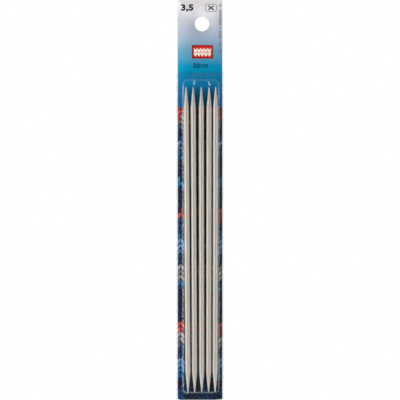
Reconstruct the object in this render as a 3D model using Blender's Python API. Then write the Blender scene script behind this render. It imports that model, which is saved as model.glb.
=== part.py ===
"""Five double pointed knitting needles in a hanging pack: a printed card in a clear blister.

Frame: the origin is the centre of the card's round hang hole, +Z is up, +X is to the right
of someone who faces the pack, and the pack's front looks along -Y. Sizes are in metres.
"""

import math

import bmesh
import bpy
from mathutils import Matrix, Vector

# Needles
NEEDLE_LENGTH = 0.200
NEEDLE_DIAMETER = 0.0035
TAPER_LENGTH = 0.014        # from the shaft's full width to the tip
TAPER_BULGE = 1.1           # 1 is a straight cone, more is rounder
TIP_RADIUS = 0.00035
NEEDLE_SIDES = 24

# Where each needle stands in the spare width, from 0 (left) to 1 (right), at its two ends.
# There is one needle for each entry.
TOP_SHARES = (0.0, 0.19, 0.56, 0.88, 1.0)
BOTTOM_SHARES = (0.30, 0.44, 0.64, 0.81, 0.92)
SIDE_PLAY = 0.0042          # spare width in the chamber
END_PLAY = 0.0043           # how far a needle can slide up
FRONT_PLAY = 0.0015         # between the needles and the chamber's front wall

# Clearances
GAP = 0.0003                # between pieces that touch on the real pack

# Card
CARD_THICKNESS = 0.0004
HEADER_HEIGHT = 0.0472      # bare card above the blister
HOLE_DIAMETER = 0.0095
HOLE_DROP = 0.0158          # hole centre below the card's top edge
HOLE_FROM_LEFT = 0.0161     # hole centre from the card's left edge
HOLE_SIDES = 48

# Blister: one folded sheet
SHEET = 0.0003
WALL_LEAN = math.radians(4)
TOP_CORNER_RADIUS = 0.0035
BOTTOM_CORNER_RADIUS = 0.0026
BASE_FILLET = 0.0006
FRONT_FILLET = 0.0005
LEFT_MARGIN = 0.0035        # card edge to the chamber's inner wall
RIGHT_MARGIN = 0.0023
TOP_MARGIN = 0.0054
BOTTOM_MARGIN = 0.0050
SIDE_FLAP = 0.0042          # width of the folded edges behind the card
BOTTOM_FLAP = 0.0050
CORNER_NOTCH = 0.0010       # from each corner to where a flap starts
CORNER_STEPS = 6            # even, so that a point lies on the corner itself
FILLET_STEPS = 3
FOLD_STEPS = 8

# Worked out from the sizes above
needle_count = len(TOP_SHARES)
needle_radius = NEEDLE_DIAMETER / 2
front_of_card = -CARD_THICKNESS / 2
flange_y = front_of_card - GAP
fold_radius = CARD_THICKNESS / 2 + GAP
needle_y = front_of_card - GAP - needle_radius
chamber_depth = NEEDLE_DIAMETER + FRONT_PLAY
lean_at_needle = needle_radius * math.tan(WALL_LEAN)
wall_clearance = GAP + lean_at_needle

card_left = -HOLE_FROM_LEFT
card_top = HOLE_DROP
sleeve_top = card_top - HEADER_HEIGHT
chamber_left = card_left + LEFT_MARGIN
needles_width = needle_count * NEEDLE_DIAMETER + (needle_count - 1) * GAP
chamber_right = chamber_left + needles_width + SIDE_PLAY + 2 * wall_clearance
chamber_top = sleeve_top - TOP_MARGIN
chamber_bottom = chamber_top - NEEDLE_LENGTH - END_PLAY - 2 * wall_clearance
card_right = chamber_right + RIGHT_MARGIN
card_bottom = chamber_bottom - BOTTOM_MARGIN


def clear_scene():
    for old in list(bpy.data.objects):
        bpy.data.objects.remove(old)


def make_material(name, color, roughness, metallic=0.0, alpha=1.0):
    material = bpy.data.materials.new(name)
    material.use_nodes = True
    shader = material.node_tree.nodes["Principled BSDF"]
    shader.inputs["Base Color"].default_value = (*color, 1.0)
    shader.inputs["Roughness"].default_value = roughness
    shader.inputs["Metallic"].default_value = metallic
    shader.inputs["Alpha"].default_value = alpha
    return material


def link_mesh(name, mesh, material):
    piece = bpy.data.objects.new(name, mesh)
    mesh.materials.append(material)
    bpy.context.collection.objects.link(piece)
    return piece


def mesh_from(name, shape):
    mesh = bpy.data.meshes.new(name)
    shape.to_mesh(mesh)
    shape.free()
    mesh.shade_smooth()
    mesh.set_sharp_from_angle(angle=math.radians(35))
    return mesh


# ---- card -------------------------------------------------------------------

def make_card():
    """A flat card, with the hang hole cut by a round bar."""
    middle = Vector(((card_left + card_right) / 2, 0.0, (card_top + card_bottom) / 2))
    size = Vector((card_right - card_left, CARD_THICKNESS, card_top - card_bottom))
    shape = bmesh.new()
    bmesh.ops.create_cube(shape, size=1.0, matrix=Matrix.Diagonal((*size, 1.0)))
    board = make_material("printed_card", (0.05, 0.20, 0.36), 0.45)
    card = link_mesh("card", mesh_from("card", shape), board)
    card.location = middle

    shape = bmesh.new()
    bmesh.ops.create_cone(shape, cap_ends=True, segments=HOLE_SIDES, radius1=HOLE_DIAMETER / 2,
                          radius2=HOLE_DIAMETER / 2, depth=0.01)
    cutter = link_mesh("hole_cutter", mesh_from("hole_cutter", shape), board)
    cutter.rotation_euler = (math.radians(90), 0.0, 0.0)
    cutter.hide_render = True
    cutter.display_type = "WIRE"

    cut = card.modifiers.new("hang_hole", "BOOLEAN")
    cut.operation = "DIFFERENCE"
    cut.solver = "EXACT"
    cut.object = cutter
    return card


# ---- blister ----------------------------------------------------------------

def corner_points(inset):
    """The rounded outline of the chamber, moved inwards by inset, one list per corner.

    The corners run bottom left, bottom right, top right, top left.
    """
    left = chamber_left + inset
    right = chamber_right - inset
    bottom = chamber_bottom + inset
    top = chamber_top - inset
    low = BOTTOM_CORNER_RADIUS - inset
    high = TOP_CORNER_RADIUS - inset
    corners = (
        (left + low, bottom + low, low, 180),
        (right - low, bottom + low, low, 270),
        (right - high, top - high, high, 0),
        (left + high, top - high, high, 90),
    )
    outline = []
    for x, z, radius, start in corners:
        arc = []
        for step in range(CORNER_STEPS + 1):
            angle = math.radians(start + 90 * step / CORNER_STEPS)
            arc.append((x + radius * math.cos(angle), z + radius * math.sin(angle)))
        outline.append(arc)
    return outline


def border_points():
    """The front sheet's square border, with as many points as the chamber's outline.

    The middle point of each corner is the corner itself, and the first and last lie
    CORNER_NOTCH along the two sides, where a flap starts.
    """
    corners = (
        ((card_left, card_bottom), (0, -1), (1, 0)),
        ((card_right, card_bottom), (1, 0), (0, 1)),
        ((card_right, sleeve_top), (0, 1), (-1, 0)),
        ((card_left, sleeve_top), (-1, 0), (0, -1)),
    )
    half = CORNER_STEPS // 2
    border = []
    for (x, z), along, onward in corners:
        side = []
        for step in range(CORNER_STEPS + 1):
            reach = CORNER_NOTCH * (step - half) / half
            way = along if step < half else onward
            side.append((x + way[0] * reach, z + way[1] * reach))
        border.append(side)
    return border


def wall_profile():
    """The chamber wall as (inset, depth) steps: base fillet, leaning wall, front fillet."""
    turn = math.pi / 2 - WALL_LEAN
    base_tangent = BASE_FILLET * math.tan(turn / 2)
    front_tangent = FRONT_FILLET * math.tan(turn / 2)
    front_inset = chamber_depth * math.tan(WALL_LEAN) + front_tangent
    steps = []
    for step in range(FILLET_STEPS + 1):
        angle = turn * step / FILLET_STEPS
        inset = -base_tangent + BASE_FILLET * math.sin(angle)
        steps.append((inset, BASE_FILLET * (1 - math.cos(angle))))
    for step in range(FILLET_STEPS + 1):
        angle = WALL_LEAN + turn * step / FILLET_STEPS
        inset = front_inset - FRONT_FILLET * math.cos(angle)
        steps.append((inset, chamber_depth - FRONT_FILLET * (1 - math.sin(angle))))
    return steps


def ring_of(shape, outline, y):
    return [shape.verts.new((x, y, z)) for corner in outline for x, z in corner]


def skin(shape, outer, inner, closed=True):
    """Fill between two rows of vertices with four-sided faces."""
    count = len(outer)
    for place in range(count if closed else count - 1):
        after = (place + 1) % count
        shape.faces.new((outer[place], outer[after], inner[after], inner[place]))


def fold_flap(shape, edge_row, outward, flap, mitres):
    """Bend a row of border vertices round the card's edge and run it back behind the card.

    mitres says, for the row's two ends, whether the flap is cut off there at 45 degrees.
    """
    row = edge_row
    for step in range(1, FOLD_STEPS + 1):
        angle = math.pi * step / FOLD_STEPS
        reach = outward * fold_radius * math.sin(angle)
        y = -fold_radius * math.cos(angle)
        following = []
        for start in edge_row:
            point = start.co + reach
            following.append(shape.verts.new((point.x, y, point.z)))
        skin(shape, following, row, closed=False)
        row = following

    inner_edge = [shape.verts.new(vertex.co - outward * flap) for vertex in row]
    inward = (row[-1].co - row[0].co).normalized() * flap
    if mitres[0]:
        inner_edge[0].co += inward
    if mitres[1]:
        inner_edge[-1].co -= inward
    skin(shape, inner_edge, row, closed=False)


def make_blister():
    """The sheet's inner face as a surface, thickened outwards."""
    shape = bmesh.new()
    border = ring_of(shape, border_points(), flange_y)
    ring = border
    for inset, depth in wall_profile():
        inner = ring_of(shape, corner_points(inset), flange_y - depth)
        skin(shape, ring, inner)
        ring = inner
    shape.faces.new(ring)

    size = CORNER_STEPS + 1
    half = CORNER_STEPS // 2
    bottom_row = border[size - 1:size + 1]
    right_row = border[2 * size - 1:2 * size + half + 1]
    left_row = border[3 * size + half:] + border[:1]
    fold_flap(shape, bottom_row, Vector((0, 0, -1)), BOTTOM_FLAP, mitres=(True, True))
    fold_flap(shape, right_row, Vector((1, 0, 0)), SIDE_FLAP, mitres=(True, False))
    fold_flap(shape, left_row, Vector((-1, 0, 0)), SIDE_FLAP, mitres=(False, True))
    bmesh.ops.recalc_face_normals(shape, faces=shape.faces)

    clear = make_material("clear_sheet", (0.9, 0.95, 0.97), 0.05, alpha=0.25)
    blister = link_mesh("blister", mesh_from("blister", shape), clear)
    thicken = blister.modifiers.new("sheet", "SOLIDIFY")
    thicken.thickness = SHEET
    thicken.offset = 1.0
    thicken.use_even_offset = True
    return blister


# ---- needles ----------------------------------------------------------------

def needle_profile():
    """Half of the needle's outline as (radius, distance from the tip): dome, then taper."""
    points = [(0.0, 0.0)]
    for degrees in (30, 60, 85):
        angle = math.radians(degrees)
        points.append((TIP_RADIUS * math.sin(angle), TIP_RADIUS * (1 - math.cos(angle))))
    steps = 7
    for step in range(1, steps + 1):
        along = step / steps
        radius = needle_radius - (needle_radius - TIP_RADIUS) * (1 - along) ** TAPER_BULGE
        points.append((radius, TIP_RADIUS + (TAPER_LENGTH - TIP_RADIUS) * along))
    return points


def needle_mesh():
    """The profile turned about Z, with the needle's middle at the origin."""
    half = NEEDLE_LENGTH / 2
    upper = [(radius, half - along) for radius, along in needle_profile()]
    lower = [(radius, -height) for radius, height in reversed(upper)]
    shape = bmesh.new()
    chain = [shape.verts.new((radius, 0.0, height)) for radius, height in upper + lower]
    edges = [shape.edges.new(pair) for pair in zip(chain, chain[1:])]
    bmesh.ops.spin(shape, geom=chain + edges, axis=(0, 0, 1), cent=(0, 0, 0),
                   angle=math.tau, steps=NEEDLE_SIDES, use_merge=True)
    bmesh.ops.remove_doubles(shape, verts=shape.verts, dist=0.000005)
    bmesh.ops.recalc_face_normals(shape, faces=shape.faces)
    return mesh_from("needle", shape)


def needle_place(number, shares):
    """A needle end's X: side by side with a gap each, and its share of the spare width."""
    first = chamber_left + wall_clearance + needle_radius
    return first + number * (NEEDLE_DIAMETER + GAP) + shares[number] * SIDE_PLAY


def make_needles(blister):
    coat = make_material("pearl_grey_coat", (0.52, 0.50, 0.45), 0.35, metallic=0.2)
    mesh = needle_mesh()
    mesh.materials.append(coat)
    bottom = chamber_bottom + wall_clearance
    for number in range(needle_count):
        foot_x = needle_place(number, BOTTOM_SHARES)
        sideways = needle_place(number, TOP_SHARES) - foot_x
        lean = math.asin(sideways / NEEDLE_LENGTH)
        middle_x = foot_x + sideways / 2
        middle_z = bottom + NEEDLE_LENGTH * math.cos(lean) / 2
        needle = bpy.data.objects.new(f"needle_{number + 1}", mesh)
        bpy.context.collection.objects.link(needle)
        needle.location = (middle_x, needle_y, middle_z)
        needle.rotation_euler = (0.0, lean, 0.0)
        needle.parent = blister


clear_scene()
make_card()
sleeve = make_blister()
make_needles(sleeve)
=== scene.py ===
# Looks for a hanging pack of double pointed knitting needles.
# Every size that the model gives is read from it; sizes here are in metres unless a name ends in Mm.
import math

import bmesh
import bpy
import numpy as np
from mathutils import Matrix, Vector


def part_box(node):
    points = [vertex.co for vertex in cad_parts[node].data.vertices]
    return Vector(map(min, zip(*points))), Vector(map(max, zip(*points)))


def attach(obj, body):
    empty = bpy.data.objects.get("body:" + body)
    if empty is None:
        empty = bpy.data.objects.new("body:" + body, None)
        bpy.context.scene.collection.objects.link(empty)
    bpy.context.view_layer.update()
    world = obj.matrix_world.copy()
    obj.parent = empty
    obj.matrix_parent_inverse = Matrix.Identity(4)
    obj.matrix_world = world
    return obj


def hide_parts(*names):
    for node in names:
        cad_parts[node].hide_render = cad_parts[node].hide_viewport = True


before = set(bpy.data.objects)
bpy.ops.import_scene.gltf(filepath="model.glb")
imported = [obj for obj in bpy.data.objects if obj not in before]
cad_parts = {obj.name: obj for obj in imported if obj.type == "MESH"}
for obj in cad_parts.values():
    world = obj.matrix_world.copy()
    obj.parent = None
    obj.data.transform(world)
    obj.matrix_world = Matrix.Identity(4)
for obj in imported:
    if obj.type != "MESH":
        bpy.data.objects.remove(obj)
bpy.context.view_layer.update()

cardLow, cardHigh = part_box("card")
sheetLow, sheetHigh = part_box("blister")
needleNames = sorted(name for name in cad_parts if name.startswith("needle"))
sharpAngle = math.radians(50)       # edges sharper than this stay crisp
doubledDistance = 0.000002          # points closer than this are merged
print("frame loaded:", len(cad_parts), "nodes")


# meshes from arrays

# A mesh object from an array of points and rows of corner numbers, shaded smooth.
def makePiece(name, points, faces, materials):
    mesh = bpy.data.meshes.new(name)
    mesh.from_pydata(np.asarray(points, float).tolist(), [], faces)
    mesh.polygons.foreach_set("use_smooth", [True] * len(mesh.polygons))
    for material in materials:
        mesh.materials.append(material)
    mesh.update()
    piece = bpy.data.objects.new(name, mesh)
    bpy.context.collection.objects.link(piece)
    return piece


# One row of three numbers for each point of a mesh: its place, or what else is asked for.
def pointsOf(mesh, what="co"):
    flat = np.empty(len(mesh.vertices) * 3)
    mesh.vertices.foreach_get(what, flat)
    return flat.reshape(-1, 3)


# Four-cornered faces between neighbours of a grid of points numbered row by row.
def gridFaces(rows, columns, roundRows=False, roundColumns=False, start=0):
    rowSteps = np.arange(rows if roundRows else rows - 1)
    columnSteps = np.arange(columns if roundColumns else columns - 1)
    row, column = np.meshgrid(rowSteps, columnSteps, indexing="ij")
    nextRow = (row + 1) % rows
    nextColumn = (column + 1) % columns
    corners = (row * columns + column, row * columns + nextColumn,
               nextRow * columns + nextColumn, nextRow * columns + column)
    return (np.stack(corners, axis=-1).reshape(-1, 4) + start).tolist()


# Merges doubled points and faces the mesh outwards: the face that lies furthest towards the
# front has to look that way, and the others follow it.
def pointOutwards(piece):
    shape = bmesh.new()
    shape.from_mesh(piece.data)
    bmesh.ops.remove_doubles(shape, verts=shape.verts, dist=doubledDistance)
    bmesh.ops.recalc_face_normals(shape, faces=shape.faces)
    foremost = min(shape.faces, key=lambda face: face.calc_center_median().y)
    if foremost.normal.y > 0:
        bmesh.ops.reverse_faces(shape, faces=shape.faces)
    shape.to_mesh(piece.data)
    shape.free()


# shader helpers

# A colour on the 0 to 255 scale of a screen, as a shader's linear colour.
def ink(red, green, blue):
    screen = np.array((red, green, blue)) / 255
    linear = np.where(screen <= 0.04045, screen / 12.92, ((screen + 0.055) / 1.055) ** 2.4)
    return (*linear.tolist(), 1.0)


# Joins an output to a socket, or sets the socket to a plain value.
def put(tree, value, socket):
    if isinstance(value, bpy.types.NodeSocket):
        tree.links.new(value, socket)
    else:
        socket.default_value = value


# One Math node, and its output.
def calc(tree, operation, *values):
    node = tree.nodes.new("ShaderNodeMath")
    node.operation = operation
    for value, socket in zip(values, node.inputs):
        put(tree, value, socket)
    return node.outputs[0]


# Value brought from low..high to toLow..toHigh, and held there.
def rangeTo(tree, value, low, high, toLow=0.0, toHigh=1.0, smooth=True):
    node = tree.nodes.new("ShaderNodeMapRange")
    node.interpolation_type = "SMOOTHSTEP" if smooth else "LINEAR"
    put(tree, value, node.inputs["Value"])
    for name, number in (("From Min", low), ("From Max", high), ("To Min", toLow), ("To Max", toHigh)):
        put(tree, number, node.inputs[name])
    return node.outputs["Result"]


# Two colours blended: share 0 gives the first and share 1 the second.
def blendColors(tree, share, first, second, kind="MIX"):
    node = tree.nodes.new("ShaderNodeMix")
    node.data_type = "RGBA"
    node.blend_type = kind
    put(tree, share, node.inputs["Factor"])
    put(tree, first, node.inputs[6])
    put(tree, second, node.inputs[7])
    return node.outputs[2]


# A colour times a number.
def scaleColor(tree, color, factor):
    node = tree.nodes.new("ShaderNodeVectorMath")
    node.operation = "SCALE"
    put(tree, color, node.inputs[0])
    put(tree, factor, node.inputs["Scale"])
    return node.outputs[0]


# Two shaders mixed: share 0 gives the first and share 1 the second.
def mixShaders(tree, share, first, second):
    node = tree.nodes.new("ShaderNodeMixShader")
    for value, socket in zip((share, first, second), node.inputs):
        put(tree, value, socket)
    return node.outputs[0]


# A number around 0.5 that changes slowly from place to place.
def noiseAt(tree, place, scale, detail=3.0, roughness=0.5):
    node = tree.nodes.new("ShaderNodeTexNoise")
    put(tree, place, node.inputs["Vector"])
    node.inputs["Scale"].default_value = scale
    node.inputs["Detail"].default_value = detail
    node.inputs["Roughness"].default_value = roughness
    return node.outputs["Fac"]


# Three numbers as one place.
def placeXyz(tree, x, y, z):
    node = tree.nodes.new("ShaderNodeCombineXYZ")
    for value, socket in zip((x, y, z), node.inputs):
        put(tree, value, socket)
    return node.outputs[0]


# And a place as its three numbers.
def splitXyz(tree, place):
    node = tree.nodes.new("ShaderNodeSeparateXYZ")
    tree.links.new(place, node.inputs[0])
    return node.outputs


# A ramp through stops of (place from 0 to 1, colour).
def colorRamp(tree, value, stops, interpolation="LINEAR"):
    node = tree.nodes.new("ShaderNodeValToRGB")
    put(tree, value, node.inputs[0])
    ramp = node.color_ramp
    ramp.interpolation = interpolation
    ramp.elements[0].position, ramp.elements[0].color = stops[0]
    ramp.elements[1].position, ramp.elements[1].color = stops[-1]
    for place, color in stops[1:-1]:
        ramp.elements.new(place).color = color
    return node.outputs["Color"]


# The object's own coordinates, in millimetres.
def millimetres(tree):
    coordinates = tree.nodes.new("ShaderNodeTexCoord")
    mapping = tree.nodes.new("ShaderNodeMapping")
    mapping.inputs["Scale"].default_value = (1000, 1000, 1000)
    tree.links.new(coordinates.outputs["Object"], mapping.inputs["Vector"])
    return mapping.outputs[0]


# A normal that leans as a height from 0 to 1, over this distance in metres, would make it.
def bumpFrom(tree, height, distance, strength=1.0):
    node = tree.nodes.new("ShaderNodeBump")
    put(tree, height, node.inputs["Height"])
    node.inputs["Distance"].default_value = distance
    node.inputs["Strength"].default_value = strength
    return node.outputs[0]


# A material with one Principled shader, whose plain values are given by socket name.
def newMaterial(name, **values):
    material = bpy.data.materials.new(name)
    material.use_nodes = True
    shader = material.node_tree.nodes["Principled BSDF"]
    for socket, value in values.items():
        shader.inputs[socket.replace("_", " ")].default_value = value
    return material, material.node_tree, shader


# An empty node group; inputs and outputs are {socket name: socket type}.
def newGroup(name, inputs, outputs):
    group = bpy.data.node_groups.new(name, "ShaderNodeTree")
    for socket, kind in inputs.items():
        group.interface.new_socket(socket, in_out="INPUT", socket_type=kind)
    for socket, kind in outputs.items():
        group.interface.new_socket(socket, in_out="OUTPUT", socket_type=kind)
    return group, group.nodes.new("NodeGroupInput").outputs, group.nodes.new("NodeGroupOutput").inputs


# A node group placed in a tree, with its inputs given by socket name.
def useGroup(tree, group, **values):
    node = tree.nodes.new("ShaderNodeGroup")
    node.node_tree = group
    for socket, value in values.items():
        put(tree, value, node.inputs[socket.replace("_", " ")])
    return node.outputs


# Fine unevenness that several finishes share: a height, and a slow cloudiness around 0.5.
def makeSurfaceGrain():
    group, given, out = newGroup(
        "surfaceGrain",
        {"Place": "NodeSocketVector", "Fine": "NodeSocketFloat", "Coarse": "NodeSocketFloat"},
        {"Height": "NodeSocketFloat", "Cloud": "NodeSocketFloat"},
    )
    fine = group.nodes.new("ShaderNodeTexNoise")
    fine.inputs["Detail"].default_value = 4.0
    group.links.new(given["Place"], fine.inputs["Vector"])
    group.links.new(given["Fine"], fine.inputs["Scale"])
    cloud = group.nodes.new("ShaderNodeTexNoise")
    cloud.inputs["Detail"].default_value = 2.0
    group.links.new(given["Place"], cloud.inputs["Vector"])
    group.links.new(given["Coarse"], cloud.inputs["Scale"])
    group.links.new(fine.outputs["Fac"], out["Height"])
    group.links.new(cloud.outputs["Fac"], out["Cloud"])
    return group


surfaceGrain = makeSurfaceGrain()


# the printed card

cardLook = {
    "edgeRounding": 0.00006,
    "holeRadius": 0.00475,
    "anglesRound": 160,
    "knitStartMm": 70.6,        # below the card's top edge
    "firstColumnMm": 2.0,       # from the card's left edge to where a column of stitches starts
    "stitchWidthMm": 5.5,
    "rowHeightMm": 3.4,
    "legSlope": 0.9,            # rows that a leg of a stitch climbs from the middle outwards
    "strayRows": 0.7,           # how far a stitch may take its colour from the rows next to it
    "columnWander": 0.14,       # how far a column drifts sideways, in columns
    "rowWander": 0.4,           # how far a row drifts up or down, in rows
    "rowJitter": 0.20,          # and how ragged its edge is
    "raggedMm": 0.7,            # how ragged the picture's upper edge is
    "rightSideMm": (24.0, 29.0),    # across the card, where the picture gets darker ...
    "rightSideShade": 0.62,         # ... down to this share
    # painted shadow of the needles: behind them the knitted picture is darkened, down to the share below
    "needlesMiddleMm": 15.5,        # across the card
    "paintedNeedleShadowMm": (8.5, 11.5),     # from that middle, where the painted shadow of the needles fades out again
    "paintedNeedleShadowShare": 0.45,
    "legEdgeShade": 0.04,       # how dark it gets between two legs ...
    "legEndShade": 0.14,        # ... and where a leg starts and ends
    "flankTone": (1.18, 0.66),  # upper and lower flank of a leg
    "fibreTone": (0.42, 1.62),
    "stitchTone": (0.45, 1.55),
    "twistShare": 0.12,
    "fleckShare": 0.45,
    "fleckColor": ink(120, 146, 196),
    "darkestColor": ink(8, 9, 16),
    "printRoughness": 0.17, "boardRoughness": 0.85, "roughnessChange": 0.02,
    "printDepthMm": 0.02,       # how deep into the edge the print goes
    "wornEdgeMm": (0.05, 0.15), "wornEdgeShare": 0.5,
    "boardColor": ink(222, 220, 214),
    "speckColor": ink(150, 138, 120),
    # header colours, by millimetres below the top edge
    "header": ((0, ink(240, 236, 237)), (6, ink(225, 222, 225)), (13, ink(197, 199, 207)),
               (25, ink(168, 186, 209)), (33, ink(110, 164, 194)), (39, ink(80, 158, 194)),
               (43, ink(14, 150, 194)), (46, ink(0, 147, 190)), (52, ink(0, 142, 190)),
               (58, ink(0, 122, 172)), (70, ink(0, 104, 154))),
    # the wool that the knitted picture shows
    "yarns": {
        "coral": ink(205, 80, 70),
        "ash": ink(150, 140, 140),
        "rose": ink(170, 164, 168),
        "sky": ink(105, 145, 190),
        "azure": ink(50, 135, 190),
        "teal": ink(18, 106, 150),
        "denim": ink(30, 66, 108),
        "night": ink(22, 46, 84),
    },
    # its stripes, top to bottom: yarn and height in millimetres
    "stripes": (("coral", 7), ("ash", 6), ("denim", 8.5), ("sky", 5.5), ("night", 2),
                ("teal", 4.5), ("night", 12.5), ("azure", 5.5), ("night", 15.5), ("coral", 7),
                ("denim", 8.5), ("teal", 6), ("sky", 7), ("denim", 8.5), ("rose", 9.5),
                ("teal", 6), ("night", 22), ("coral", 7.5), ("rose", 7.5), ("denim", 8.5),
                ("sky", 6), ("teal", 8), ("night", 7), ("denim", 7)),
}


# Where rays from the hole's centre at these angles meet the card's outline, moved in by inset.
# Each ray is as long as the nearest of the two sides that it heads for.
def rectangleAt(angles, inset):
    sideX = np.where(np.cos(angles) > 0, cardHigh.x - inset, cardLow.x + inset)
    sideZ = np.where(np.sin(angles) > 0, cardHigh.z - inset, cardLow.z + inset)
    with np.errstate(divide="ignore"):
        reach = np.minimum(sideX / np.cos(angles), sideZ / np.sin(angles))
    return np.stack((reach * np.cos(angles), reach * np.sin(angles)), axis=-1)


# A picture of striped knitting, seen from the stocking stitch side, with a painted shadow of the needles
# darkening its middle.
# A stitch is two legs that climb away from the middle of its column, like a V. Counting rows
# along the legs, row = down + slope * distance from the middle, gives each leg its own colour.
def makeKnitPrintAndNeedleShadow():
    look = cardLook
    group, given, out = newGroup(
        "knitPrintAndNeedleShadow",
        {"Across": "NodeSocketFloat", "Down": "NodeSocketFloat"},
        {"Color": "NodeSocketColor"},
    )
    rough = placeXyz(group, given["Across"], given["Down"], 0.0)
    wander = calc(group, "SUBTRACT", noiseAt(group, rough, 0.55, 2.0), 0.5)
    jitter = calc(group, "SUBTRACT", noiseAt(group, rough, 3.0, 3.0), 0.5)
    across = calc(group, "SUBTRACT", given["Across"], look["firstColumnMm"])
    across = calc(group, "DIVIDE", across, look["stitchWidthMm"])
    across = calc(group, "ADD", across, calc(group, "MULTIPLY", wander, look["columnWander"]))
    column = calc(group, "FLOOR", across)
    inColumn = calc(group, "SUBTRACT", calc(group, "SUBTRACT", across, column), 0.5)
    middle = calc(group, "MULTIPLY", calc(group, "ABSOLUTE", inColumn), 2.0)
    side = calc(group, "SIGN", inColumn)

    down = calc(group, "DIVIDE", given["Down"], look["rowHeightMm"])
    down = calc(group, "ADD", down, calc(group, "MULTIPLY", wander, look["rowWander"]))
    along = calc(group, "ADD", down, calc(group, "MULTIPLY", middle, look["legSlope"]))
    along = calc(group, "ADD", along, calc(group, "MULTIPLY", jitter, look["rowJitter"]))
    row = calc(group, "FLOOR", along)
    acrossLeg = calc(group, "SUBTRACT", calc(group, "SUBTRACT", along, row), 0.5)

    # rounded shading: dark where two legs meet, light on the upper flank of each leg
    offCentre = calc(group, "ABSOLUTE", acrossLeg)
    body = rangeTo(group, offCentre, 0.24, 0.50, 1.0, look["legEdgeShade"])
    ends = calc(group, "ABSOLUTE", calc(group, "SUBTRACT", middle, 0.5))
    body = calc(group, "MULTIPLY", body, rangeTo(group, ends, 0.32, 0.50, 1.0, look["legEndShade"]))
    flank = rangeTo(group, acrossLeg, -0.35, 0.45, *look["flankTone"], smooth=False)

    # yarn: strands twisted along the leg, and loose fibres
    strandPlace = placeXyz(group, calc(group, "MULTIPLY", middle, 2.2),
                           calc(group, "MULTIPLY", along, 7.0), calc(group, "ADD", column, side))
    fibre = noiseAt(group, strandPlace, 1.6, 5.0, 0.65)
    twist = calc(group, "SINE", calc(group, "ADD", calc(group, "MULTIPLY", middle, 15.0),
                                     calc(group, "MULTIPLY", acrossLeg, 9.0)))
    strand = calc(group, "ADD", rangeTo(group, fibre, 0.32, 0.70, *look["fibreTone"], smooth=False),
                  calc(group, "MULTIPLY", twist, look["twistShare"]))
    shade = calc(group, "MULTIPLY", calc(group, "MULTIPLY", body, flank), strand)
    rightSide = rangeTo(group, given["Across"], *look["rightSideMm"], 1.0, look["rightSideShade"])
    shade = calc(group, "MULTIPLY", shade, rightSide)
    # painted shadow of the needles, where their shade falls on the card behind them: darker across the
    # middle
    fromMiddle = calc(group, "SUBTRACT", given["Across"], look["needlesMiddleMm"])
    paintedNeedleShadow = rangeTo(group, calc(group, "ABSOLUTE", fromMiddle), *look["paintedNeedleShadowMm"],
                            look["paintedNeedleShadowShare"], 1.0)
    shade = calc(group, "MULTIPLY", shade, paintedNeedleShadow)

    # each leg takes its stripe's colour, with a little change from stitch to stitch
    heights = [height for yarn, height in look["stripes"]]
    total = sum(heights)
    stops = [(sum(heights[:number]) / total, look["yarns"][yarn])
             for number, (yarn, height) in enumerate(look["stripes"])]
    rowMiddle = calc(group, "ADD", row, 0.5 - look["legSlope"] / 2)
    stitchNoise = group.nodes.new("ShaderNodeTexWhiteNoise")
    put(group, placeXyz(group, column, row, side), stitchNoise.inputs["Vector"])
    stray = calc(group, "SUBTRACT", stitchNoise.outputs["Value"], 0.5)
    stray = calc(group, "MULTIPLY", stray, look["strayRows"])
    dye = calc(group, "MULTIPLY", calc(group, "ADD", rowMiddle, stray), look["rowHeightMm"])
    wool = colorRamp(group, calc(group, "DIVIDE", dye, total), stops, "CONSTANT")
    tone = rangeTo(group, stitchNoise.outputs["Value"], 0.0, 1.0, *look["stitchTone"], smooth=False)
    fleck = rangeTo(group, noiseAt(group, strandPlace, 0.8, 2.0), 0.54, 0.80, 0.0, look["fleckShare"])
    heather = blendColors(group, fleck, wool, look["fleckColor"])
    lit = scaleColor(group, heather, calc(group, "MULTIPLY", shade, tone))
    put(group, blendColors(group, 1.0, lit, look["darkestColor"], "LIGHTEN"), out["Color"])
    return group
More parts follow.
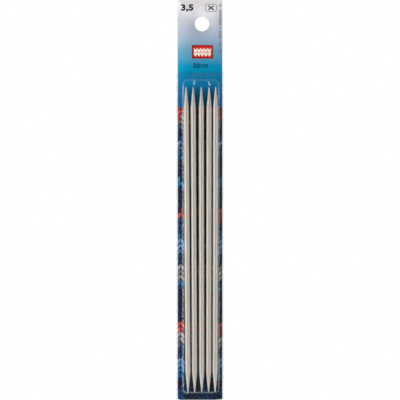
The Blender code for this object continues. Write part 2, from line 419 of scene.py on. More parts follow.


# Print on the card's front, with a painted shadow of the needles across the knitted picture, bare board on
# its back and edges, and a worn line round the front.
def printedCardMaterial():
    look = cardLook
    material, tree, shader = newMaterial("printedCard", Roughness=0.42, Specular_IOR_Level=0.2)
    place = millimetres(tree)
    x, y, z = splitXyz(tree, place)
    down = calc(tree, "SUBTRACT", cardHigh.z * 1000, z)
    across = calc(tree, "SUBTRACT", x, cardLow.x * 1000)
    length = look["header"][-1][0]
    grain = useGroup(tree, surfaceGrain, Place=place, Fine=4.0, Coarse=0.12)
    header = colorRamp(tree, calc(tree, "DIVIDE", down, length),
                       [(mm / length, color) for mm, color in look["header"]])
    header = blendColors(tree, 0.10, header, grain["Cloud"], "SOFT_LIGHT")
    knit = useGroup(tree, makeKnitPrintAndNeedleShadow(), Across=across,
                    Down=calc(tree, "SUBTRACT", down, look["knitStartMm"]))["Color"]
    ragged = calc(tree, "MULTIPLY", noiseAt(tree, place, 0.9), look["raggedMm"])
    below = calc(tree, "GREATER_THAN", calc(tree, "ADD", down, ragged),
                 look["knitStartMm"] + look["raggedMm"] / 2)
    front = blendColors(tree, below, header, knit)

    fibres = rangeTo(tree, noiseAt(tree, place, 2.2, 6.0, 0.7), 0.3, 0.7, 0.93, 1.03)
    board = blendColors(tree, 1.0, look["boardColor"], fibres, "MULTIPLY")
    specks = rangeTo(tree, noiseAt(tree, place, 3.1, 1.0), 0.70, 0.78, 0.0, 0.5)
    board = blendColors(tree, specks, board, look["speckColor"])
    printedSide = calc(tree, "LESS_THAN", y, cardLow.y * 1000 + look["printDepthMm"])
    rub = rangeTo(tree, noiseAt(tree, place, 1.7, 4.0), 0.45, 0.75, 0.0, 0.12)
    edgeX = calc(tree, "MINIMUM", across, calc(tree, "SUBTRACT", cardHigh.x * 1000, x))
    edgeZ = calc(tree, "MINIMUM", down, calc(tree, "SUBTRACT", z, cardLow.z * 1000))
    fromEdge = calc(tree, "ADD", calc(tree, "MINIMUM", edgeX, edgeZ), rub)
    nearEdge = rangeTo(tree, fromEdge, *look["wornEdgeMm"], look["wornEdgeShare"], 0.0)
    front = blendColors(tree, nearEdge, front, look["boardColor"])
    put(tree, blendColors(tree, printedSide, board, front), shader.inputs["Base Color"])
    roughness = rangeTo(tree, printedSide, 0.0, 1.0,
                        look["boardRoughness"], look["printRoughness"], smooth=False)
    change = rangeTo(tree, grain["Cloud"], 0.3, 0.7, -look["roughnessChange"], look["roughnessChange"])
    put(tree, calc(tree, "ADD", roughness, change), shader.inputs["Roughness"])
    put(tree, bumpFrom(tree, grain["Height"], 0.00002, 0.5), shader.inputs["Normal"])
    return material


# The card as a ring of points round the hang hole, carried through eight stations.
# The stations run front face, outer edge, back face and hole wall, so the surface closes.
def makeCard():
    look = cardLook
    corners = np.array([math.atan2(z, x) for x in (cardLow.x, cardHigh.x) for z in (cardLow.z, cardHigh.z)])
    even = (np.arange(look["anglesRound"]) + 0.5) / look["anglesRound"] * math.tau - math.pi
    angles = np.sort(np.concatenate((even, corners)))
    soft = look["edgeRounding"]

    def circleAt(grow):
        return (look["holeRadius"] + grow) * np.stack((np.cos(angles), np.sin(angles)), axis=-1)

    front, back = cardLow.y, cardHigh.y
    stations = ((circleAt(soft), front), (rectangleAt(angles, soft), front),
                (rectangleAt(angles, 0), front + soft), (rectangleAt(angles, 0), back - soft),
                (rectangleAt(angles, soft), back), (circleAt(soft), back),
                (circleAt(0), back - soft), (circleAt(0), front + soft))
    rings = [np.stack((flat[:, 0], np.full(len(angles), y), flat[:, 1]), axis=-1) for flat, y in stations]
    faces = gridFaces(len(rings), len(angles), roundRows=True, roundColumns=True)
    card = makePiece("printed_card", np.concatenate(rings), faces, [printedCardMaterial()])
    pointOutwards(card)
    card.data.set_sharp_from_angle(angle=sharpAngle)
    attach(card, "card")
    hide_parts("card")
    return card


makeCard()
print("card made")


# the small print, as films of ink on the card's front

inkLook = {
    "thickness": 0.00002,
    "clearance": 0.000006,      # between the card and the first film of ink
    "levelStep": 1.5,           # from one level of ink to the next, in thicknesses
    "sizeNumber": {"words": "3,5", "boxMm": (-13.9, -5.6, 8.0, 13.0), "bolden": 0.045, "spacing": 1.04,
                   "color": ink(28, 26, 30)},
    "lengthNumber": {"words": "20", "boxMm": (-5.8, -1.4, -28.9, -25.7), "bolden": 0.034, "spacing": 1.14,
                     "color": ink(4, 34, 62)},
    "lengthUnit": {"words": "cm", "boxMm": (-0.9, 3.9, -28.8, -26.4), "bolden": 0.018, "spacing": 1.12,
                   "color": ink(4, 40, 70)},
    "badgeBoxMm": (2.0, 9.8, 8.1, 13.2),
    "badgeCornerMm": 1.5,
    "badgeLineMm": 0.42,
    "badgeColor": ink(120, 120, 126),
    "badgeNeedleMm": (1.8, 1.4, 0.8),       # half its reach across, half its reach up, and width
    "badgeNeedleColor": ink(60, 58, 64),
    "patchBoxMm": (-6.6, 7.2, -22.7, -13.8),
    "patchBorderMm": 0.75,
    "patchColumns": 5,
    "patchRows": 2,
    "patchRowMm": 2.45,
    "patchMarginMm": 0.45,
    "patchColor": ink(206, 22, 18),
    "patchBorderColor": ink(140, 6, 18),
    "stitchColor": ink(250, 236, 222),
    "sideLineMm": (10.9, 12.6, -21.0, 13.0),
    "sideMarkMm": (0.35, 1.0),          # shortest and longest mark
    "sideEdgeMm": 0.5,                  # how ragged the marks' left ends are
    "sideLineColor": ink(120, 122, 132),
    "lowLineMm": (-6.4, 9.6, -35.3, -32.4),
    "lowMarkMm": (0.4, 1.3),
    "lowMarkHeightMm": 0.8,
    "lowLineColor": ink(58, 132, 186),
}


# A colour of ink that is a little patchy, as cloud * 2 * change around 1.
def inkMaterial(name, color, change=0.12):
    material, tree, shader = newMaterial(name, Roughness=0.38)
    place = millimetres(tree)
    grain = useGroup(tree, surfaceGrain, Place=place, Fine=9.0, Coarse=1.5)
    patchy = rangeTo(tree, grain["Cloud"], 0.3, 0.7, 1.0 - change, 1.0 + change)
    put(tree, scaleColor(tree, color[:3], patchy), shader.inputs["Base Color"])
    put(tree, rangeTo(tree, grain["Height"], 0.3, 0.7, 0.32, 0.46), shader.inputs["Roughness"])
    put(tree, bumpFrom(tree, grain["Height"], 0.000006, 0.4), shader.inputs["Normal"])
    return material


# The y of a film's back and front: back = card - clearance - level * step * thickness.
def inkDepths(level):
    thickness = inkLook["thickness"]
    back = cardLow.y - inkLook["clearance"] - level * inkLook["levelStep"] * thickness
    return back, back - thickness


# Flat outlines, each an array of (x, z) in millimetres going anticlockwise as the front is
# seen, given thickness: one face in front, one behind and a band between.
def stampInk(name, outlines, material, level=0):
    back, front = inkDepths(level)
    points, faces = [], []
    for outline in outlines:
        flat = np.asarray(outline, float) / 1000
        start = sum(len(block) for block in points)
        count = len(flat)
        for y in (front, back):
            points.append(np.stack((flat[:, 0], np.full(count, y), flat[:, 1]), axis=-1))
        near = np.arange(count) + start
        far = near + count
        faces.append(near.tolist())
        faces.append(far[::-1].tolist())
        faces.extend(np.stack((np.roll(near, -1), near, far, np.roll(far, -1)), axis=-1).tolist())
    film = makePiece(name, np.concatenate(points), faces, [material])
    film.data.shade_flat()
    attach(film, "card")
    return film


# A rectangle with round corners: quarter circles about the four corner centres.
def roundedBox(boxMm, radius, inset=0.0, steps=6):
    left, right, low, high = boxMm
    angles = np.radians(np.linspace(0, 90, steps + 1))
    corners = ((right, high, 0), (left, high, 90), (left, low, 180), (right, low, 270))
    arcs = []
    for x, z, turn in corners:
        centreX = x - math.copysign(radius, x - (left + right) / 2)
        centreZ = z - math.copysign(radius, z - (low + high) / 2)
        swing = angles + math.radians(turn)
        arcs.append(np.stack((centreX + (radius - inset) * np.cos(swing),
                              centreZ + (radius - inset) * np.sin(swing)), axis=-1))
    return np.concatenate(arcs)


# A band between two outlines of as many points, cut into four-cornered pieces.
def bandPieces(outer, inner):
    return [np.stack((outer[i], outer[(i + 1) % len(outer)], inner[(i + 1) % len(inner)], inner[i]))
            for i in range(len(outer))]


# A stroke of even width from one point to another, with blunt ends.
def stroke(fromX, fromZ, toX, toZ, width):
    along = np.array((toX - fromX, toZ - fromZ), float)
    along /= np.linalg.norm(along)
    side = np.array((-along[1], along[0])) * width / 2
    start, end = np.array((fromX, fromZ)), np.array((toX, toZ))
    return np.stack((start + side, start - side, end - side, end + side))


# Words made solid and fitted to a box on the card's front.
def stampWords(name, look):
    curve = bpy.data.curves.new(name, "FONT")
    curve.body = look["words"]
    curve.offset = look["bolden"]
    curve.extrude = 0.01
    curve.space_character = look["spacing"]
    curve.resolution_u = 4
    writing = bpy.data.objects.new(name + "_curve", curve)
    bpy.context.collection.objects.link(writing)
    bpy.context.view_layer.update()
    mesh = bpy.data.meshes.new_from_object(writing.evaluated_get(bpy.context.evaluated_depsgraph_get()))
    bpy.data.objects.remove(writing)
    flat = pointsOf(mesh)
    left, right, low, high = np.array(look["boxMm"]) / 1000
    x = np.interp(flat[:, 0], (flat[:, 0].min(), flat[:, 0].max()), (left, right))
    z = np.interp(flat[:, 1], (flat[:, 1].min(), flat[:, 1].max()), (low, high))
    back, front = inkDepths(0)
    y = np.where(flat[:, 2] > 0, front, back)
    mesh.vertices.foreach_set("co", np.stack((x, y, z), axis=-1).ravel())
    mesh.materials.clear()
    mesh.materials.append(inkMaterial(name + "Ink", look["color"]))
    mesh.name = name
    mesh.update()
    film = bpy.data.objects.new(name, mesh)
    bpy.context.collection.objects.link(film)
    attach(film, "card")
    return film


# One rectangle of ink, anticlockwise from its lower left corner.
def printMark(left, right, low, high):
    return np.array(((left, low), (right, low), (right, high), (left, high)))


# The sizes in words, a badge, a patch and the lines of small print.
def makeSmallPrint():
    look = inkLook
    stampWords("size_number", look["sizeNumber"])
    stampWords("length_number", look["lengthNumber"])
    stampWords("length_unit", look["lengthUnit"])

    # badge: a rounded frame with two crossed needles in it
    badge = look["badgeBoxMm"]
    corner = look["badgeCornerMm"]
    frameBand = bandPieces(roundedBox(badge, corner), roundedBox(badge, corner, look["badgeLineMm"]))
    stampInk("badge_frame", frameBand, inkMaterial("badgeInk", look["badgeColor"]))
    x, z = (badge[0] + badge[1]) / 2, (badge[2] + badge[3]) / 2
    reach, rise, width = look["badgeNeedleMm"]
    dark = inkMaterial("pictogramInk", look["badgeNeedleColor"])
    stampInk("badge_needle_left", [stroke(x - reach, z - rise, x + reach, z + rise, width)], dark)
    stampInk("badge_needle_right", [stroke(x + reach, z - rise, x - reach, z + rise, width)], dark, level=1)

    # patch: a red label with a swatch of white stitches on it
    left, right, low, high = look["patchBoxMm"]
    stampInk("patch_border", [roundedBox(look["patchBoxMm"], 0.25)],
             inkMaterial("patchBorderInk", look["patchBorderColor"]))
    border = look["patchBorderMm"]
    inner = (left + border, right - border, low + border, high - border)
    stampInk("patch_field", [roundedBox(inner, 0.2)], inkMaterial("patchInk", look["patchColor"]), level=1)
    margin = look["patchMarginMm"]
    stitchWidth = (inner[1] - inner[0] - 2 * margin) / look["patchColumns"]
    stitches = []
    for column in range(look["patchColumns"]):
        for row in range(look["patchRows"]):
            x = inner[0] + margin + (column + 0.5) * stitchWidth
            z = inner[2] + margin + row * look["patchRowMm"]
            half = stitchWidth * 0.46
            stitches.append(np.array(((x, z), (x + half, z + 1.5), (x + half, z + 3.45), (x, z + 1.9),
                                      (x - half, z + 3.45), (x - half, z + 1.5))))
    stampInk("patch_stitches", stitches, inkMaterial("stitchInk", look["stitchColor"]), level=2)

    # rows of tiny strokes that stand for lines of small print
    seeded = np.random.default_rng(7)
    left, right, low, high = look["sideLineMm"]
    marks = []
    z = high
    while z > low:
        tall = seeded.uniform(*look["sideMarkMm"])
        edge = seeded.uniform(0.0, look["sideEdgeMm"])
        marks.append(printMark(left + edge, right, z - tall, z))
        z -= tall + seeded.choice((0.35, 0.45, 1.6), p=(0.45, 0.35, 0.2))
    stampInk("side_print", marks, inkMaterial("sideInk", look["sideLineColor"]))
    left, right, low, high = look["lowLineMm"]
    marks = []
    for top in (high, (high + low) / 2 + 0.2):
        x = left
        while x < right:
            wide = seeded.uniform(*look["lowMarkMm"])
            marks.append(printMark(x, x + wide, top - look["lowMarkHeightMm"], top))
            x += wide + seeded.choice((0.3, 0.9))
    stampInk("low_print", marks, inkMaterial("lowInk", look["lowLineColor"]))


makeSmallPrint()
print("small print made")


# the clear sleeve

sleeveLook = {
    "sheet": 0.0003,
    "gap": 0.0003,                # between the card and the sheet
    "marginLeft": 0.0035, "marginRight": 0.0023, "marginTop": 0.0054, "marginBottom": 0.0050,
    "topCornerRadius": 0.0035, "bottomCornerRadius": 0.0026,
    "baseFillet": 0.0006, "frontFillet": 0.0005, "lean": math.radians(4),
    "sideFlap": 0.0042, "bottomFlap": 0.0050, "cornerNotch": 0.0010,
    "arcSteps": 10, "foldSteps": 14, "filletSteps": 7, "wallSteps": 7,
    "shortSidePoints": 18, "longSidePoints": 70, "ribPoints": 13,
    "ribX": (-0.0049, 0.0049), "ribHalfWidth": 0.0006, "ribHeight": 0.00032, "ribLength": 0.0046,
    "ribEase": 0.0012,            # over which a rib rises from nothing at its ends
    "ribLift": 0.0004,            # how far in front of the flange it starts
    "tint": (0.985, 0.99, 0.993, 1.0),
    "headOnGloss": 0.035,         # what it mirrors seen head on; all of it edge on
    "roughness": (0.12, 0.17),
    "milkColor": (0.92, 0.96, 1.0, 1.0),
    "milk": 0.36,                 # how white the sheet is where it is seen edge on
}

flangeY = cardLow.y - sleeveLook["gap"]
foldRadius = (cardHigh.y - cardLow.y) / 2 + sleeveLook["gap"]
chamberDepth = flangeY - (sheetLow.y + sleeveLook["sheet"])
chamberLeft = cardLow.x + sleeveLook["marginLeft"]
chamberRight = cardHigh.x - sleeveLook["marginRight"]
chamberTop = sheetHigh.z - sleeveLook["marginTop"]
chamberBottom = cardLow.z + sleeveLook["marginBottom"]


# Shares of the way along the straight part of a short and of a long side. The short sides
# have extra places close to the two ribs.
def straightShares():
    look = sleeveLook
    start = chamberLeft + look["topCornerRadius"]
    width = chamberRight - chamberLeft - 2 * look["topCornerRadius"]
    close = np.linspace(-1.2, 1.2, look["ribPoints"]) * look["ribHalfWidth"]
    nearRibs = np.concatenate([(x + close - start) / width for x in look["ribX"]])
    plain = np.linspace(0, 1, look["shortSidePoints"])
    farFromRibs = np.abs(plain[:, None] - nearRibs[None, :]).min(axis=1) > 0.02
    short = np.sort(np.concatenate((plain[farFromRibs | (plain == 0) | (plain == 1)], nearRibs)))
    return short, np.linspace(0, 1, look["longSidePoints"])


# One side of the chamber's outline, from the middle of one corner to the middle of the next:
# half an arc, the straight part, half an arc.
def chamberSide(startCentre, startRadius, endCentre, endRadius, startAngle, shares):
    steps = np.linspace(0, 1, sleeveLook["arcSteps"] + 1)
    first = startAngle + steps * math.pi / 4
    second = first + math.pi / 4
    startArc = np.array(startCentre) + startRadius * np.stack((np.cos(first), np.sin(first)), axis=-1)
    endArc = np.array(endCentre) + endRadius * np.stack((np.cos(second), np.sin(second)), axis=-1)
    straight = startArc[-1] + shares[1:-1, None] * (endArc[0] - startArc[-1])
    return np.concatenate((startArc, straight, endArc))


# The four sides, running anticlockwise from the bottom left corner, all moved in by inset.
def chamberSides(inset):
    look = sleeveLook
    short, long = straightShares()
    low = look["bottomCornerRadius"]
    high = look["topCornerRadius"]
    bottomLeft = (chamberLeft + low, chamberBottom + low)
    bottomRight = (chamberRight - low, chamberBottom + low)
    topRight = (chamberRight - high, chamberTop - high)
    topLeft = (chamberLeft + high, chamberTop - high)
    low, high = low - inset, high - inset
    quarter = math.pi / 2
    return [chamberSide(bottomLeft, low, bottomRight, low, -1.5 * quarter, short),
            chamberSide(bottomRight, low, topRight, high, -0.5 * quarter, long),
            chamberSide(topRight, high, topLeft, high, 0.5 * quarter, 1 - short[::-1]),
            chamberSide(topLeft, high, bottomLeft, low, 1.5 * quarter, long)]


# The sheet's square border with as many points: a corner's half arcs spread over the notch
# at each end of the side, and the straight part over the rest.
def borderSides():
    look = sleeveLook
    short, long = straightShares()
    steps = np.linspace(0, 1, look["arcSteps"] + 1)
    corners = ((cardLow.x, cardLow.z), (cardHigh.x, cardLow.z),
               (cardHigh.x, sheetHigh.z), (cardLow.x, sheetHigh.z))
    sides = []
    for number, shares in enumerate((short, long, 1 - short[::-1], long)):
        start = np.array(corners[number])
        whole = np.array(corners[(number + 1) % 4]) - start
        length = np.linalg.norm(whole)
        notch = look["cornerNotch"] / length
        share = np.concatenate((steps * notch, notch + shares[1:-1] * (1 - 2 * notch),
                                1 - notch + steps * notch))
        sides.append(start + share[:, None] * whole)
    return sides


# The four sides as one closed ring of points at depth y; each side drops its last point.
def ringFrom(sides, y):
    flat = np.concatenate([side[:-1] for side in sides])
    return np.stack((flat[:, 0], np.full(len(flat), y), flat[:, 1]), axis=-1)


# The wall as steps of (inset, depth): fillet at the base, leaning wall, fillet at the front.
def wallSteps():
    look = sleeveLook
    turn = math.pi / 2 - look["lean"]
    steps = np.linspace(0, 1, look["filletSteps"] + 1)
    base, front = look["baseFillet"], look["frontFillet"]
    baseAngles = turn * steps
    baseInset = base * (np.sin(baseAngles) - math.tan(turn / 2))
    baseDepth = base * (1 - np.cos(baseAngles))
    frontAngles = look["lean"] + turn * steps
    lastInset = chamberDepth * math.tan(look["lean"]) + front * math.tan(turn / 2)
    frontInset = lastInset - front * np.cos(frontAngles)
    frontDepth = chamberDepth - front * (1 - np.sin(frontAngles))
    share = np.linspace(0, 1, look["wallSteps"])[1:-1]
    wallInset = baseInset[-1] + share * (frontInset[0] - baseInset[-1])
    wallDepth = baseDepth[-1] + share * (frontDepth[0] - baseDepth[-1])
    return (np.concatenate((baseInset, wallInset, frontInset)),
            np.concatenate((baseDepth, wallDepth, frontDepth)))


# The flat front as a grid between the four sides: each point is the blend across plus the
# blend up, less the blend of the four corners.
def frontPlane(sides):
    bottom, right, top, left = sides[0], sides[1], sides[2][::-1], sides[3][::-1]
    across = np.linspace(0, 1, len(bottom))[None, :, None]
    up = np.linspace(0, 1, len(right))[:, None, None]
    upward = (1 - up) * bottom[None] + up * top[None]
    sideways = (1 - across) * left[:, None] + across * right[:, None]
    corners = ((1 - up) * ((1 - across) * bottom[0] + across * bottom[-1])
               + up * ((1 - across) * top[0] + across * top[-1]))
    return upward + sideways - corners


# A flap folded round the card's edge: the edge row swings half a turn about the card's mid
# plane, then runs back behind the card, cut at 45 degrees where a mitre is asked for.
def foldedFlap(edge, outward, flap, mitreStart, mitreEnd):
    look = sleeveLook
    turns = np.linspace(0, math.pi, look["foldSteps"] + 1)[:, None]
    outward = np.array(outward, float)
    x = edge[None, :, 0] + outward[0] * foldRadius * np.sin(turns)
    z = edge[None, :, 1] + outward[1] * foldRadius * np.sin(turns)
    y = np.broadcast_to(-foldRadius * np.cos(turns), x.shape)
    rows = np.stack((x, y, z), axis=-1)
    share = np.linalg.norm(edge - edge[0], axis=1) / np.linalg.norm(edge[-1] - edge[0])
    way = (edge[-1] - edge[0]) / np.linalg.norm(edge[-1] - edge[0])
    start = edge[0] - outward * flap + way * (flap if mitreStart else 0)
    end = edge[-1] - outward * flap - way * (flap if mitreEnd else 0)
    inner = start + share[:, None] * (end - start)
    last = np.stack((inner[:, 0], np.full(len(edge), foldRadius), inner[:, 1]), axis=-1)
    return np.concatenate((rows, last[None]))


# Clear plastic: it lets light straight through, mirrors more of it towards grazing angles, and
# looks milky edge on, as milk * facing^3.
def clearPlasticMaterial():
    look = sleeveLook
    material, tree, shader = newMaterial(
        "clearPlastic", Base_Color=(0.95, 0.97, 0.98, 1.0), Metallic=1.0, Roughness=0.09)
    place = millimetres(tree)
    slow = noiseAt(tree, place, 0.07, 1.0)
    normal = bumpFrom(tree, slow, 0.00020, 0.5)
    scuffs = rangeTo(tree, noiseAt(tree, place, 0.25, 2.0), 0.35, 0.65, *look["roughness"])
    put(tree, scuffs, shader.inputs["Roughness"])
    put(tree, normal, shader.inputs["Normal"])
    through = tree.nodes.new("ShaderNodeBsdfTransparent")
    through.inputs["Color"].default_value = look["tint"]
    facing = tree.nodes.new("ShaderNodeLayerWeight")
    facing.inputs["Blend"].default_value = 0.5
    put(tree, normal, facing.inputs["Normal"])
    grazing = calc(tree, "POWER", facing.outputs["Facing"], 5.0)
    gloss = calc(tree, "ADD", look["headOnGloss"], calc(tree, "MULTIPLY", grazing, 1 - look["headOnGloss"]))
    milky = tree.nodes.new("ShaderNodeBsdfDiffuse")
    milky.inputs["Color"].default_value = look["milkColor"]
    edgeOn = calc(tree, "MULTIPLY", calc(tree, "POWER", facing.outputs["Facing"], 3.0), look["milk"])
    clouded = mixShaders(tree, edgeOn, through.outputs[0], milky.outputs[0])
    plastic = mixShaders(tree, gloss, clouded, shader.outputs[0])
    put(tree, plastic, tree.nodes["Material Output"].inputs["Surface"])
    return material


# Border, wall and front of the chamber, then the three flaps, as one open sheet that is
# thickened outwards. A rib is raised by height * cos^2 across it.
def makeSleeve():
    look = sleeveLook
    insets, depths = wallSteps()
    border = borderSides()
    rings = [ringFrom(border, flangeY)]
    rings += [ringFrom(chamberSides(inset), flangeY - depth) for inset, depth in zip(insets, depths)]
    count = len(rings[0])
    points = [np.concatenate(rings)]
    faces = gridFaces(len(rings), count, roundColumns=True)

    plane = frontPlane(chamberSides(insets[-1]))
    rows, columns = plane.shape[:2]
    flat = plane.reshape(-1, 2)
    faces += gridFaces(rows, columns, start=len(points[0]))
    points.append(np.stack((flat[:, 0], np.full(len(flat), flangeY - depths[-1]), flat[:, 1]), axis=-1))

    arc = look["arcSteps"]
    flaps = (foldedFlap(border[0][arc:-arc], (0, -1), look["bottomFlap"], True, True),
             foldedFlap(border[1][arc:], (1, 0), look["sideFlap"], True, False),
             foldedFlap(border[3][:-arc], (-1, 0), look["sideFlap"], False, True))
    for flap in flaps:
        faces += gridFaces(*flap.shape[:2], start=sum(len(block) for block in points))
        points.append(flap.reshape(-1, 3))

    sleeve = makePiece("clear_sleeve", np.concatenate(points), faces, [clearPlasticMaterial()])
    pointOutwards(sleeve)

    # two pressed ribs that run from the front over the chamber's top edge
    mesh = sleeve.data
    place = pointsOf(mesh)
    ribs = sum(np.cos(np.clip((place[:, 0] - x) / look["ribHalfWidth"], -1, 1) * math.pi / 2) ** 2
               for x in look["ribX"])
    ribEnd = chamberTop - look["ribLength"]
    upFront = np.clip((place[:, 2] - ribEnd) / look["ribEase"], 0, 1)
    offFlange = np.clip((flangeY - look["ribLift"] - place[:, 1]) / look["ribEase"], 0, 1)
    raised = place + pointsOf(mesh, "normal") * (ribs * upFront * offFlange * look["ribHeight"])[:, None]
    mesh.vertices.foreach_set("co", raised.ravel())
    mesh.update()

    thicken = sleeve.modifiers.new("sheet", "SOLIDIFY")
    thicken.thickness = look["sheet"]
    thicken.offset = 1.0
    thicken.use_even_offset = True
    bpy.context.view_layer.update()
    solid = bpy.data.meshes.new_from_object(sleeve.evaluated_get(bpy.context.evaluated_depsgraph_get()))
    sleeve.modifiers.remove(thicken)
    sleeve.data = solid
    solid.set_sharp_from_angle(angle=sharpAngle)
    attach(sleeve, "blister")
    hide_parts("blister")
    return sleeve


makeSleeve()
print("sleeve made")


# the needles

needleLook = {
    "taper": 0.014, "bulge": 1.1, "tipRadius": 0.00035, "radius": 0.00175,
    "sides": 64, "tipPoints": 9, "tipTurn": math.radians(85), "taperPoints": 32,
    "coat": ink(211, 201, 188),
    "coatCool": ink(204, 197, 188),
}


# A pearly coat, cloudy between two greys, with a grain drawn out along the needle.
def pearlCoatMaterial():
    look = needleLook
    material, tree, shader = newMaterial(
        "pearlCoat", Metallic=0.25, Roughness=0.38, Coat_Weight=0.15, Coat_Roughness=0.25)
    place = millimetres(tree)
    drawn = tree.nodes.new("ShaderNodeMapping")
    drawn.inputs["Scale"].default_value = (1.0, 1.0, 0.06)
    put(tree, place, drawn.inputs["Vector"])
    grain = useGroup(tree, surfaceGrain, Place=drawn.outputs[0], Fine=7.0, Coarse=0.7)
    color = blendColors(tree, grain["Cloud"], look["coat"], look["coatCool"])
    specks = rangeTo(tree, noiseAt(tree, place, 14.0, 2.0), 0.35, 0.65, 0.94, 1.05)
    put(tree, scaleColor(tree, color, specks), shader.inputs["Base Color"])
    put(tree, rangeTo(tree, grain["Height"], 0.3, 0.7, 0.33, 0.45), shader.inputs["Roughness"])
    put(tree, bumpFrom(tree, grain["Height"], 0.00001, 0.35), shader.inputs["Normal"])
    return material


# Half of the needle's outline: a round tip, then radius = full - (full - tip) * (1 - share)^bulge.
def needleOutline():
    look = needleLook
    dome = np.linspace(0, look["tipTurn"], look["tipPoints"])
    domeRadius = look["tipRadius"] * np.sin(dome)
    domeAlong = look["tipRadius"] * (1 - np.cos(dome))
    share = np.linspace(0, 1, look["taperPoints"] + 1)[1:]
    taperRadius = look["radius"] - (look["radius"] - look["tipRadius"]) * (1 - share) ** look["bulge"]
    taperAlong = look["tipRadius"] + (look["taper"] - look["tipRadius"]) * share
    return np.concatenate((domeRadius, taperRadius)), np.concatenate((domeAlong, taperAlong))


# The outline turned about the line between the tips of the modelled needle.
def makeNeedle(name, material):
    look = needleLook
    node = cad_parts[name]
    turned = np.array(node.matrix_world.to_3x3())
    place = pointsOf(node.data) @ turned.T + np.array(node.matrix_world.translation)
    top, bottom = place[place[:, 2].argmax()], place[place[:, 2].argmin()]
    length = np.linalg.norm(top - bottom)
    axis = (top - bottom) / length
    sideways = np.cross((0.0, 1.0, 0.0), axis)
    sideways /= np.linalg.norm(sideways)
    forward = np.cross(axis, sideways)

    radii, along = needleOutline()
    heights = length / 2 - along
    radii = np.concatenate((radii, radii[::-1]))
    heights = np.concatenate((heights, -heights[::-1]))
    around = np.linspace(0, math.tau, look["sides"], endpoint=False)
    points = ((top + bottom) / 2
              + radii[:, None, None] * (np.cos(around)[None, :, None] * sideways
                                        + np.sin(around)[None, :, None] * forward)
              + heights[:, None, None] * axis)
    needle = makePiece(name + "_fine", points.reshape(-1, 3),
                       gridFaces(len(radii), len(around), roundColumns=True), [material])
    pointOutwards(needle)
    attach(needle, name)
    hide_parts(name)
    return needle


pearlCoat = pearlCoatMaterial()
for name in needleNames:
    makeNeedle(name, pearlCoat)
print("needles made:", len(needleNames))


# floor, lights and camera

studio = {
    "floorBelow": 0.90,           # under the card's lowest edge, so that the sleeve can slide down
    "floorHalf": 3.0,
    "floorFadeMm": (900, 2600),   # where it fades to white, by distance from the hang hole
    "viewCentre": Vector((-0.00131, 0.0, -0.1156)),
    "viewWidth": 0.2628,
    "lens": 250.0, "sensor": 36.0,      # both in millimetres
    "farthest": 20.0,
    "ambient": 0.11,
    "mirroredAmbient": 0.06,      # what shiny pieces mirror of it
    # name, place, width, height, watts
    "lights": (("keyLight", (-1.30, -0.85, 0.10), 0.55, 1.1, 19.6),
               ("fillLight", (1.30, -0.85, -0.10), 0.6, 1.1, 10.8),
               ("topLight", (0.15, -0.55, 1.20), 0.8, 0.4, 2.4),
               ("lowLight", (-0.20, -0.20, -0.90), 0.40, 0.15, 6.5),
               ("backLight", (0.2, 1.3, 0.6), 0.9, 0.9, 11.0)),
}


# A pale floor that rays from the camera see evenly lit, so that it melts into the background.
def floorMaterial():
    material, tree, shader = newMaterial("paleFloor", Roughness=0.7)
    place = millimetres(tree)
    grain = useGroup(tree, surfaceGrain, Place=place, Fine=0.08, Coarse=0.004)
    color = blendColors(tree, grain["Cloud"], (0.88, 0.88, 0.88, 1), (0.92, 0.92, 0.91, 1))
    put(tree, color, shader.inputs["Base Color"])
    even = tree.nodes.new("ShaderNodeEmission")
    length = tree.nodes.new("ShaderNodeVectorMath")
    length.operation = "LENGTH"
    put(tree, place, length.inputs[0])
    faraway = rangeTo(tree, length.outputs["Value"], *studio["floorFadeMm"])
    put(tree, blendColors(tree, faraway, color, (1, 1, 1, 1)), even.inputs["Color"])
    path = tree.nodes.new("ShaderNodeLightPath")
    mixed = mixShaders(tree, path.outputs["Is Camera Ray"], shader.outputs[0], even.outputs[0])
    put(tree, mixed, tree.nodes["Material Output"].inputs["Surface"])
    return material


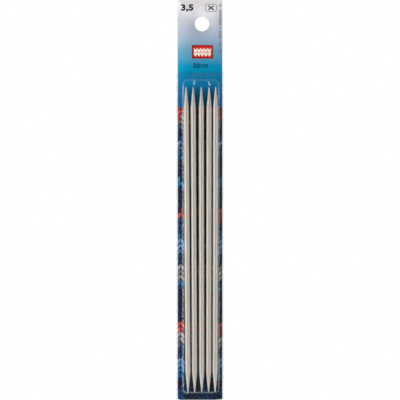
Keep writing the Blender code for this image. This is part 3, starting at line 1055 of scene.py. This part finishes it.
# One big square under the object.
def makeFloor():
    half = studio["floorHalf"]
    level = cardLow.z - studio["floorBelow"]
    corners = [(x * half, y * half, level) for x, y in ((-1, -1), (1, -1), (1, 1), (-1, 1))]
    floor = makePiece("floor", corners, [[0, 1, 2, 3]], [floorMaterial()])
    return floor


# White where the camera sees it, and a dim grey for the light that it gives.
def makeWorld():
    world = bpy.data.worlds.new("studio")
    world.use_nodes = True
    tree = world.node_tree
    background = tree.nodes["Background"]
    background.inputs["Color"].default_value = (1, 1, 1, 1)
    path = tree.nodes.new("ShaderNodeLightPath")
    seen = path.outputs["Is Camera Ray"]
    mirrored = path.outputs["Is Glossy Ray"]
    lost = calc(tree, "MULTIPLY", mirrored, studio["ambient"] - studio["mirroredAmbient"])
    others = calc(tree, "SUBTRACT", studio["ambient"], lost)
    unseen = calc(tree, "SUBTRACT", 1.0, seen)
    strength = calc(tree, "ADD", seen, calc(tree, "MULTIPLY", others, unseen))
    put(tree, strength, background.inputs["Strength"])
    bpy.context.scene.world = world


# Turns a lamp so that it shines at a target.
def aimAt(piece, target):
    piece.rotation_euler = (target - piece.location).to_track_quat("-Z", "Y").to_euler()


# Oblong lamps that the camera doesn't see, all turned to the middle of the view.
def makeLights():
    for name, place, width, height, watts in studio["lights"]:
        light = bpy.data.lights.new(name, "AREA")
        light.shape = "RECTANGLE"
        light.size = width
        light.size_y = height
        light.energy = watts
        lamp = bpy.data.objects.new(name, light)
        lamp.location = place
        lamp.visible_camera = False
        bpy.context.collection.objects.link(lamp)
        aimAt(lamp, studio["viewCentre"])


# Straight in front: distance = width of the view * lens / width of the sensor.
def makeCamera():
    camera = bpy.data.objects.new("camera", bpy.data.cameras.new("camera"))
    camera.data.sensor_width = studio["sensor"]
    camera.data.lens = studio["lens"]
    camera.data.clip_end = studio["farthest"]
    distance = studio["viewWidth"] * studio["lens"] / studio["sensor"]
    camera.location = studio["viewCentre"] - Vector((0, distance, 0))
    camera.rotation_euler = (math.radians(90), 0, 0)
    bpy.context.collection.objects.link(camera)
    bpy.context.scene.camera = camera


makeFloor()
makeWorld()
makeLights()
makeCamera()
bpy.context.scene.view_settings.view_transform = "Standard"
print("studio made")
